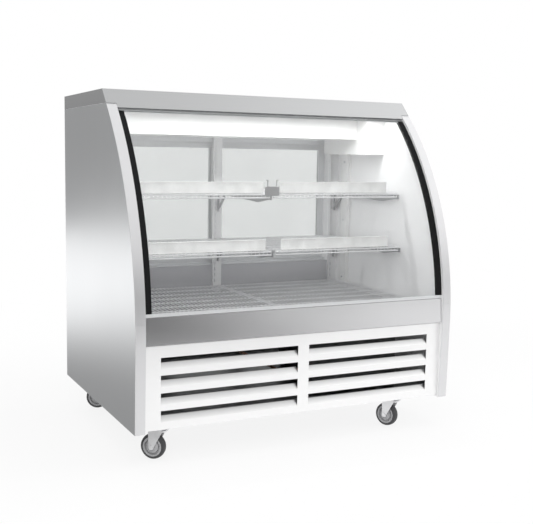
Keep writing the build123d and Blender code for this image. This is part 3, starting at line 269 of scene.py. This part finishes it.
def louvred(name, colour, roughness):
    """Bright sheet with painted shade on the blades: they grey from the face of the grille to their inner
    edges.
    """
    grille_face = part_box("front_grille")[0].y
    finish = Finish(name, Metallic=0.8)
    streaks, patches = brush(finish, "x", roughness)
    span = {"From Min": grille_face + grille_lip, "From Max": grille_face + grille_depth}
    recess = finish.node("ShaderNodeMapRange", {"Value": finish.along("Y"), **span})
    face = finish.tint((streaks - 0.5) * 0.3 + patches, shade(colour, 0.95), shade(colour, 1.05))
    # Painted shade: the blades turn grey the deeper they lie behind the grille's face.
    grey = finish.tint(patches, shade(colour, 0.62), shade(colour, 0.68))
    finish.set(Base_Color=finish.mix(recess * 0.75 + recess**0.2 * 0.25, face, grey))
    return finish.material


def spangled(name, colour, roughness):
    """Galvanised sheet: crystal patches of slightly different brightness."""
    finish = Finish(name, Metallic=1.0)
    cells = finish.node("ShaderNodeTexVoronoi", {"Vector": finish.place(), "Scale": 90.0}, output="Color")
    spangle = finish.node("ShaderNodeSeparateColor", {"Color": cells})
    patches = finish.noise(5.0, 3.0)
    tone = spangle * 0.6 + patches * 0.4
    finish.set(Base_Color=finish.tint(tone, shade(colour, 0.78), shade(colour, 1.15)))
    finish.set(Roughness=spangle * 0.14 + roughness)
    finish.bump(patches, 0.06, 0.0005)
    return finish.material


def plated(name, colour, roughness, metallic=1.0):
    """Bright plating with a faint cloudiness and small pits."""
    finish = Finish(name, Metallic=metallic)
    patches = finish.noise(30.0, 4.0)
    pits = finish.noise(700.0)
    finish.set(Base_Color=finish.tint(patches, shade(colour, 0.84), shade(colour, 1.1)))
    finish.set(Roughness=(patches - 0.5) * 0.2 + roughness)
    finish.bump(pits, 0.05, 0.0002)
    return finish.material


def paint(name, colour, roughness, peel=0.05):
    """Sprayed coat: a soft orange peel and slight unevenness of tone."""
    finish = Finish(name)
    peel_height = finish.noise(260.0)
    patches = finish.noise(6.0, 3.0)
    finish.set(Base_Color=finish.tint(patches, shade(colour, 0.95), shade(colour, 1.03)))
    finish.set(Roughness=(patches - 0.5) * 0.12 + roughness)
    finish.bump(peel_height, peel, 0.0006)
    return finish.material


def moulding(name, colour, roughness, grain=0.15, **constants):
    """Moulded plastic or rubber: a fine grain, and rubbed patches that are a little lighter."""
    finish = Finish(name, **constants)
    grains = finish.noise(1400.0)
    rubbed = finish.noise(24.0, 4.0)
    finish.set(Base_Color=finish.tint(rubbed, shade(colour, 0.8), shade(colour, 1.25)))
    finish.set(Roughness=(rubbed - 0.5) * 0.16 + roughness)
    finish.bump(grains, grain, 0.0003)
    return finish.material


def drawn_copper(name, colour):
    """Copper tube whose tarnish changes its colour and gloss."""
    finish = Finish(name, Metallic=1.0)
    tarnish = finish.noise(18.0, 5.0)
    finish.set(Base_Color=finish.tint(tarnish, shade(colour, 0.55), shade(colour, 1.1)))
    finish.set(Roughness=tarnish * 0.3 + 0.15)
    finish.bump(tarnish, 0.05, 0.0005)
    return finish.material


def clear_glass(name, tint, gloss, veil, top_sheen=0.0):
    """Clear sheet: a gloss that grows towards grazing views, a faint film, and a painted milky sheen towards
    its top.
    """
    finish = Finish(name, Roughness=0.04, Metallic=0.0, IOR=1.5)
    film = finish.noise(3.0, 3.0)
    finish.set(Base_Color=finish.tint(film, shade(tint, 0.96), tint))
    through = finish.node("ShaderNodeBsdfTransparent", {"Color": (*tint, 1.0)})
    edge_on = finish.node("ShaderNodeLayerWeight", {"Blend": 0.5}, output="Facing")
    share = edge_on**5 * gloss + film * veil
    if top_sheen:
        # Painted sheen: a lit white veil that rises towards the top of the glass in place of a reflection.
        share = share + finish.ease(finish.along("Z"), top_sheen_low, top_sheen_high, top_sheen)
    finish.show(finish.mix_shaders(share, through, finish.shader))
    return finish.material


def lit_tube(name, colour, strength):
    """A glowing tube, slightly uneven along its length."""
    finish = Finish(name, Roughness=0.35, Emission_Strength=strength)
    glow = finish.tint(finish.noise(4.0, 1.0), shade(colour, 0.96), colour)
    finish.set(Base_Color=glow, Emission_Color=glow)
    return finish.material


panel_colour = (0.70, 0.71, 0.72)
finishes = {
    "stainless_panel": steel("stainless_panel", panel_colour, 0.30, "z", liner=(0.95, 0.95, 0.96)),
    "stainless_trim": steel(
        "stainless_trim", (0.74, 0.74, 0.75), 0.36, "z", streak=0.02, cloud=0.03, metallic=0.8, spread=0.12
    ),
    "stainless_grille": louvred("stainless_grille", (0.92, 0.92, 0.92), 0.30),
    "front_glass": clear_glass("front_glass", (0.985, 0.988, 0.987), gloss=0.8, veil=0.03, top_sheen=0.07),
    "door_glass": clear_glass("door_glass", (0.87, 0.878, 0.876), gloss=0.6, veil=0.22),
    "black_seal": moulding("black_seal", (0.006, 0.006, 0.0065), 0.75, Specular_IOR_Level=0.2),
    "aluminium_profile": steel(
        "aluminium_profile", (0.74, 0.75, 0.76), 0.38, "x", streak=0.04, cloud=0.03, metallic=0.5
    ),
    "white_sheet": paint("white_sheet", (0.86, 0.86, 0.855), 0.42),
    "white_plastic": moulding("white_plastic", (0.80, 0.80, 0.795), 0.35, grain=0.04),
    "lamp_diffuser": lit_tube("lamp_diffuser", (1.0, 0.99, 0.96), 1.3),
    "grey_steel": steel("grey_steel", (0.52, 0.52, 0.53), 0.40, "z", streak=0.04, cloud=0.06),
    "wire_coating": plated("wire_coating", (0.88, 0.88, 0.89), 0.34, metallic=0.5),
    "coil_fins": plated("coil_fins", (0.62, 0.63, 0.64), 0.42),
    "black_plastic": moulding("black_plastic", (0.03, 0.03, 0.03), 0.5),
    "motor_paint": paint("motor_paint", (0.035, 0.035, 0.04), 0.35, peel=0.10),
    "galvanised": spangled("galvanised", (0.58, 0.59, 0.60), 0.34),
    "copper": drawn_copper("copper", (0.78, 0.42, 0.27)),
    "zinc_steel": plated("zinc_steel", (0.66, 0.67, 0.68), 0.28),
    "tyre": moulding("tyre", (0.055, 0.055, 0.058), 0.62, grain=0.25),
}
hub_plastic = moulding("hub_plastic", (0.42, 0.42, 0.43), 0.42, grain=0.10)
sheet_x = steel("stainless_panel_x", panel_colour, 0.30, "x")
wall_steel = steel("well_wall_steel", (0.56, 0.56, 0.58), 0.34, "x", metallic=0.5)
floor_steel = steel("well_floor_steel", (0.30, 0.30, 0.31), 0.40, "x", metallic=0.8)
cap_steel = steel("cap_steel", (0.58, 0.585, 0.59), 0.20, "x", streak=0.04, cloud=0.04)
fork_steel = plated("fork_steel", (0.86, 0.86, 0.87), 0.36, metallic=0.5)
apron_steel = steel("apron_steel", (0.72, 0.72, 0.73), 0.16, "x", streak=0.03, cloud=0.02)
standard_steel = steel(
    "standard_steel", (0.88, 0.88, 0.89), 0.42, "z", streak=0.03, cloud=0.03, metallic=0.4
)


# Making pieces
usual_bevel = 0.0005
bevel_segments = 2
weld = 1e-6
flat_angle = radians(0.1)


def finished(shape, name, material, body, replaced=(), bevel=0.0, crease=35.0):
    """Turns a bmesh into a piece that rides on a body, with its sharp edges rounded by the bevel."""
    mesh = bpy.data.meshes.new(name)
    shape.to_mesh(mesh)
    shape.free()
    mesh.shade_smooth()
    mesh.set_sharp_from_angle(angle=radians(crease))
    mesh.materials.append(material)
    piece = bpy.data.objects.new(name, mesh)
    bpy.context.scene.collection.objects.link(piece)
    if bevel:
        rounding = piece.modifiers.new("rounding", "BEVEL")
        rounding.width = bevel
        rounding.segments = bevel_segments
        rounding.limit_method = "ANGLE"
        rounding.angle_limit = radians(crease)
        rounding.harden_normals = True
    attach(piece, body)
    if replaced:
        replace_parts(piece, *replaced)


def merged(node):
    """A bmesh of a CAD node's shape with its loose triangles joined."""
    shape = bmesh.new()
    shape.from_mesh(nodes[node].data)
    bmesh.ops.remove_doubles(shape, verts=shape.verts, dist=weld)
    bmesh.ops.dissolve_limit(shape, angle_limit=flat_angle, verts=shape.verts, edges=shape.edges)
    return shape


def dressed(shape, node, material, bevel):
    """A piece that stands for one CAD node, on its body and in its slot."""
    finished(shape, node + "_dressed", material, body_of[node], [node], bevel)


def aimed(place, direction):
    """A placing that turns the Z axis to a direction."""
    turn = Vector((0.0, 0.0, 1.0)).rotation_difference(Vector(direction))
    return Matrix.Translation(Vector(place)) @ turn.to_matrix().to_4x4()


def add_rod(shape, start, end, radius, sides=10):
    """Adds a round rod between two points."""
    start = Vector(start)
    run = Vector(end) - start
    bmesh.ops.create_cone(
        shape, cap_ends=True, segments=sides, radius1=radius, radius2=radius, depth=run.length,
        matrix=aimed(start + run / 2, run),
    )


def add_block(shape, low, high):
    """Adds a box between two corners."""
    low = Vector(low)
    high = Vector(high)
    stretch = Matrix.Diagonal((*(high - low), 1.0))
    bmesh.ops.create_cube(shape, size=1.0, matrix=Matrix.Translation((low + high) / 2) @ stretch)


# Wire shelves and deck racks
rail_radius = 0.003
deck_radius = 0.0015
deck_pitch = 0.016
deck_sides = 8
nose_drop = 0.012
shelf_cross_rails = 5
rack_cross_rails = 7


def wire_panel(node, cross_rails, legs_to=None):
    """Deck wires on a frame of rails; a rack stands on legs, and a shelf's wires turn down in front."""
    low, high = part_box(node)
    shape = bmesh.new()
    rail_z = high.z - 2 * deck_radius - rail_radius
    deck_z = high.z - deck_radius
    left = low.x + rail_radius
    right = high.x - rail_radius
    front = low.y + rail_radius
    back = high.y - rail_radius
    for x in (left, right):
        add_rod(shape, (x, low.y, rail_z), (x, high.y, rail_z), rail_radius)
    for n in range(cross_rails + 2):
        y = front + (back - front) * n / (cross_rails + 1)
        add_rod(shape, (low.x, y, rail_z), (high.x, y, rail_z), rail_radius)
    nose_z = rail_z - nose_drop
    if legs_to is None:
        add_rod(shape, (low.x, front, nose_z), (high.x, front, nose_z), rail_radius)
    count = int((high.x - low.x - 2 * rail_radius) // deck_pitch)
    for n in range(count + 1):
        x = low.x + deck_radius + (high.x - low.x - 2 * deck_radius) * n / count
        add_rod(shape, (x, low.y, deck_z), (x, high.y, deck_z), deck_radius, deck_sides)
        if legs_to is None:
            nose_y = low.y + deck_radius
            add_rod(shape, (x, nose_y, deck_z), (x, nose_y, nose_z), deck_radius, deck_sides)
    if legs_to is not None:
        for x in (left, right):
            for y in (front, back):
                add_rod(shape, (x, y, legs_to), (x, y, rail_z), rail_radius)
    coating = finishes["wire_coating"]
    finished(shape, node + "_wires", coating, body_of[node], [node], crease=50.0)


for side in ("left", "right"):
    wire_panel("shelf_upper_" + side, shelf_cross_rails)
    wire_panel("shelf_lower_" + side, shelf_cross_rails)
    wire_panel("deck_rack_" + side, rack_cross_rails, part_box("well_floor")[1].z)


# Finned coils
fin_thickness = 0.0004
coil_tube_radius = 0.005
coil_tube_sides = 12
tube_row_offset = 0.012


def finned_coil(node, rises, fin_gap):
    """Thin upright fins on two rows of tubes, at the given heights above the coil's foot."""
    low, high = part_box(node)
    shape = bmesh.new()
    middle_y = (low.y + high.y) / 2
    count = int((high.x - low.x) // fin_gap)
    for n in range(count + 1):
        x = low.x + (high.x - low.x - fin_thickness) * n / count
        add_block(shape, (x, low.y, low.z), (x + fin_thickness, high.y, high.z))
    for rise in rises:
        z = low.z + rise
        for y in (middle_y - tube_row_offset, middle_y + tube_row_offset):
            add_rod(shape, (low.x, y, z), (high.x, y, z), coil_tube_radius, coil_tube_sides)
    finished(shape, node + "_fins", finishes["coil_fins"], body_of[node], [node])


finned_coil("cooler_coil", (0.025, 0.055), fin_gap=0.006)
finned_coil("condenser_coil", (0.045, 0.08, 0.115, 0.15, 0.185), fin_gap=0.0032)


# Caster wheels
corners = ("front_left", "front_right", "rear_left", "rear_right")
wheel_radius = 0.0445
wheel_half = 0.016
tyre_thickness = 0.011
tyre_half = wheel_half - 0.003
hub_radius = wheel_radius - tyre_thickness
axle_bore = 0.00505
boss_radius = 0.010
disc_inner = 0.012
disc_inner_half = 0.0130
disc_outer = 0.0215
disc_outer_half = 0.0120
groove_inner = 0.0235
groove_outer = 0.0268
groove_half = 0.0050
rim_inner = 0.0284
rim_lip = 0.0008
rim_seat = 0.002
tyre_seat = 0.001
sidewall_drop = 0.005
shoulder_drop = 0.0015
shoulder_width = 0.0025
crown_half = 0.003


def spun(profile, place, steps):
    """A bmesh turned about an axis from one side of a profile, as (radius, offset) pairs, mirrored."""
    other_side = [(radius, -offset) for radius, offset in reversed(profile)]
    shape = bmesh.new()
    ring = [shape.verts.new((radius, 0.0, offset)) for radius, offset in profile + other_side]
    edges = [shape.edges.new((ring[n - 1], ring[n])) for n in range(len(ring))]
    bmesh.ops.spin(
        shape, geom=ring + edges, cent=(0, 0, 0), axis=(0, 0, 1), angle=2 * pi, steps=steps, use_merge=True
    )
    bmesh.ops.remove_doubles(shape, verts=shape.verts, dist=weld)
    bmesh.ops.recalc_face_normals(shape, faces=shape.faces)
    bmesh.ops.transform(shape, matrix=place, verts=shape.verts)
    return shape


def caster_wheel(corner):
    """A rubber tyre with rounded shoulders, on a hub with a boss, a disc and a grooved rim."""
    node = "caster_wheel_" + corner
    joint = joint_of[node]
    place = aimed(joint["pos_m"], joint["axis"])
    tread = [
        (hub_radius - tyre_seat, -tyre_half),
        (wheel_radius - sidewall_drop, -tyre_half),
        (wheel_radius - shoulder_drop, -tyre_half + shoulder_width),
        (wheel_radius, -crown_half),
    ]
    finished(spun(tread, place, 64), node + "_tyre", finishes["tyre"], node, [node], 0.0006, 30.0)
    hub = [
        (axle_bore, -wheel_half),
        (boss_radius, -wheel_half),
        (disc_inner, -disc_inner_half),
        (disc_outer, -disc_outer_half),
        (groove_inner, -groove_half),
        (groove_outer, -groove_half),
        (rim_inner, -tyre_half),
        (hub_radius + rim_lip, -tyre_half - rim_lip),
        (hub_radius + rim_lip, -tyre_half + rim_seat),
    ]
    finished(spun(hub, place, 48), node + "_hub", hub_plastic, node, (), usual_bevel, 30.0)


for corner in corners:
    caster_wheel(corner)


# Louvred front grille
grille_bevel = 0.0007
blade_edge_from = 0.0125
blade_edge_to = 0.0150
blade_drop = 0.006


def front_grille():
    """The grille, with the blades' inner edges a little lower so that the slits show dark."""
    grille_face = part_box("front_grille")[0].y
    shape = merged("front_grille")
    for vertex in shape.verts:
        if blade_edge_from < vertex.co.y - grille_face < blade_edge_to:
            vertex.co.z -= blade_drop
    dressed(shape, "front_grille", finishes["stainless_grille"], grille_bevel)


front_grille()


# Every other node keeps its CAD shape, with its edges rounded unless its bevel is 0
finish_by_node = {
    "top_cap": cap_steel,
    "front_apron": apron_steel,
    "shelf_standards": standard_steel,
    "rear_service_panel": sheet_x,
    "door_header": sheet_x,
    "well_floor": floor_steel,
    "well_front_wall": wall_steel,
    "rear_wall": wall_steel,
    **{"caster_fork_" + corner: fork_steel for corner in corners},
}
bevel_by_node = {
    "top_cap": 0.0009,
    "front_glass": 0.0008,
    "refrigerant_lines": 0.0,
    "lamp_tube": 0.0,
    "compressor": 0.0012,
}
replaced_already = {name for piece in bpy.data.objects for name in piece.get("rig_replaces", [])}
for node in sorted(set(nodes) - replaced_already):
    material = finish_by_node.get(node, finishes[slot_of[node]])
    dressed(merged(node), node, material, bevel_by_node.get(node, usual_bevel))


# Screws
head_sides = 20
head_height = 0.45
head_crown = 0.72
recess_rim = 0.40
recess_depth = 0.5
panel_screw_radius = 0.004
panel_screw_inset = 0.014
panel_screw_places = (-0.585, -0.195, 0.195, 0.585)
cover_screw_radius = 0.0045
cover_thickness = 0.014
cover_screw_y = 0.275
cover_screw_heights = (0.50, 0.76, 1.02)


def add_screw(shape, place, outward, radius):
    """Adds a screw head with a round recess; its height, crown and rim are shares of its radius."""
    outward = Vector(outward)
    height = radius * head_height
    head = bmesh.ops.create_cone(
        shape, cap_ends=True, segments=head_sides, radius1=radius, radius2=radius * head_crown, depth=height,
        matrix=aimed(place, outward) @ Matrix.Translation((0.0, 0.0, height / 2)),
    )
    faces = (face for vertex in head["verts"] for face in vertex.link_faces)
    top = max(faces, key=lambda face: face.normal.dot(outward) * len(face.verts))
    bmesh.ops.inset_region(shape, faces=[top], thickness=radius * recess_rim)
    bmesh.ops.translate(shape, verts=top.verts, vec=-outward * height * recess_depth)


def screws(name, places, outward, radius):
    """Screws on one face of the case."""
    shape = bmesh.new()
    for place in places:
        add_screw(shape, place, outward, radius)
    finished(shape, name, finishes["zinc_steel"], "case", crease=30.0)


panel_low, panel_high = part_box("rear_service_panel")
panel_screw_heights = (panel_low.z + panel_screw_inset, panel_high.z - panel_screw_inset)
screws(
    "service_panel_screws",
    [(x, panel_high.y, z) for z in panel_screw_heights for x in panel_screw_places],
    (0, 1, 0),
    panel_screw_radius,
)
cover_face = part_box("pipe_cover")[1].x - cover_thickness
screws(
    "line_cover_screws",
    [(cover_face, cover_screw_y, z) for z in cover_screw_heights],
    (-1, 0, 0),
    cover_screw_radius,
)


# White line on the thermostat knob's pointer
line_half_width = 0.0011
line_start = 0.003
line_end = 0.0155
line_depth = 0.0025
line_proud = 0.0001


def knob_pointer():
    """A line from near the knob's middle towards its rim, upright at rest."""
    knob = "thermostat_knob"
    middle = Vector(joint_of[knob]["pos_m"])
    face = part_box(knob)[1].y
    shape = bmesh.new()
    add_block(
        shape,
        (middle.x - line_half_width, face - line_depth, middle.z + line_start),
        (middle.x + line_half_width, face + line_proud, middle.z + line_end),
    )
    finished(shape, knob + "_line", finishes["white_plastic"], knob, crease=30.0)


knob_pointer()


# Floor, with the places where the brightness that metal mirrors starts and stops changing
white = (1.0, 1.0, 1.0, 1.0)
floor_reach = 9.0
floor_far = (1.1, 3.0)
floor_beside = (-0.55, -0.7)
floor_leftward = (3.4, 0.9)
floor_distant = (-2.6, -3.8)
floor_behind = (1.5, 4.0)


def stage_floor():
    """Pale paper, which the camera sees nearly white under the case's shadow."""
    shape = bmesh.new()
    bmesh.ops.create_grid(shape, x_segments=1, y_segments=1, size=floor_reach)
    mesh = bpy.data.meshes.new("floor")
    shape.to_mesh(mesh)
    shape.free()
    floor = bpy.data.objects.new("floor", mesh)
    bpy.context.scene.collection.objects.link(floor)
    paper = Finish("floor_paper", Roughness=0.9)
    paper.set(Base_Color=paper.tint(paper.noise(3.0), (0.86, 0.86, 0.86), (0.90, 0.90, 0.90)))
    here = paper.node("ShaderNodeTexCoord", {}, output="Object")
    away = paper.node("ShaderNodeVectorMath", {0: here}, output="Value", operation="LENGTH")
    x = paper.along("X")
    y = paper.along("Y")
    far = paper.ease(away, *floor_far)
    beside = paper.ease(x, *floor_beside)
    leftward = paper.ease(x, *floor_leftward)
    distant = paper.ease(y, *floor_distant)
    behind = paper.ease(y, *floor_behind)
    # Painted shadow for what metal mirrors: the floor glows darker near the case's left end, brighter far
    # behind it, and darker far in front.
    painted_shadow_tone = behind * 0.35 + 1.12 - beside * (1.0 - far) * 0.76
    strength = painted_shadow_tone * (1.0 - distant * leftward * 0.9)
    shine = paper.node("ShaderNodeEmission", {"Color": white, "Strength": strength})
    glow = paper.node("ShaderNodeEmission", {"Color": white, "Strength": 1.0})
    to_camera = paper.mix_shaders(far * 0.16 + 0.84, paper.shader, glow)
    shown = paper.mix_shaders(paper.ray("Is Camera Ray"), paper.shader, to_camera)
    paper.show(paper.mix_shaders(paper.ray("Is Glossy Ray") * 0.95, shown, shine))
    mesh.materials.append(paper.material)


stage_floor()


# World, with the heights and directions at which what metal mirrors starts and stops changing
ceiling_rise = {"From Min": 0.04, "From Max": 0.40, "To Min": 0.36, "To Max": 0.84}
right_lift = (0.25, 0.75, 0.5)
front_turn = (-0.7, -0.93)
low_turn = (0.30, 0.05)
studio_light = 0.55


def stage_world():
    """White to the camera and through glass, an even light on the object, and soft fields in metal."""
    world = bpy.data.worlds.new("studio")
    world.use_nodes = True
    bpy.context.scene.world = world
    sky = Tree(world.node_tree)
    for old in list(sky.nodes):
        sky.nodes.remove(old)
    height = sky.along("Z", "Generated")
    ceiling = sky.node("ShaderNodeMapRange", {"Value": height, **ceiling_rise})
    lift = sky.ease(sky.along("X", "Generated"), *right_lift)
    in_front = sky.ease(sky.along("Y", "Generated"), *front_turn)
    low_down = sky.ease(height, *low_turn)
    reflected = (ceiling + lift) * (1.0 - in_front * low_down * 0.8)
    plain = sky.node("ShaderNodeBackground", {"Color": white, "Strength": 1.0})
    studio = sky.node("ShaderNodeBackground", {"Color": white, "Strength": studio_light})
    mirror_wall = sky.node("ShaderNodeBackground", {"Color": white, "Strength": reflected})
    lit = sky.mix_shaders(sky.ray("Is Glossy Ray"), studio, mirror_wall)
    seen = sky.ray("Is Camera Ray") + sky.ray("Is Transmission Ray")
    end = sky.nodes.new("ShaderNodeOutputWorld")
    sky.feed(end.inputs["Surface"], sky.mix_shaders(seen, lit, plain))


stage_world()


# Lamps
def area_lamp(name, place, target, size, power, mirrored=False):
    """A soft rectangular lamp that points at a target, and shows in metal only if it is mirrored."""
    light = bpy.data.lights.new(name, "AREA")
    light.shape = "RECTANGLE"
    light.size, light.size_y = size
    light.energy = power
    holder = bpy.data.objects.new(name, light)
    bpy.context.scene.collection.objects.link(holder)
    place = Vector(place)
    turn = (Vector(target) - place).to_track_quat("-Z", "Y")
    holder.matrix_world = Matrix.Translation(place) @ turn.to_matrix().to_4x4()
    holder.visible_glossy = mirrored


tube_low, tube_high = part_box("lamp_tube")
under_tube = (0.0, (tube_low.y + tube_high.y) / 2, tube_low.z - 0.002)
area_lamp("key_lamp", (-2.2, -3.4, 2.8), (0.0, 0.0, 0.7), (2.4, 2.0), 46.0)
area_lamp("top_lamp", (0.3, -0.4, 3.4), (0.0, 0.0, 0.6), (2.6, 2.0), 42.0)
area_lamp("right_lamp", (3.2, -1.6, 2.0), (0.2, 0.0, 0.7), (1.8, 1.8), 35.0)
area_lamp("back_lamp", (-0.4, 3.2, 2.2), (0.0, 0.3, 0.7), (2.2, 1.6), 30.0)
area_lamp("case_lamp", under_tube, (0.0, 0.15, 0.6), (1.05, 0.03), 3.2, mirrored=True)
area_lamp("front_lamp", (-1.5, -3.0, 0.9), (0.3, 0.0, 0.7), (1.5, 1.2), 8.0)

bpy.context.scene.view_settings.view_transform = "Standard"
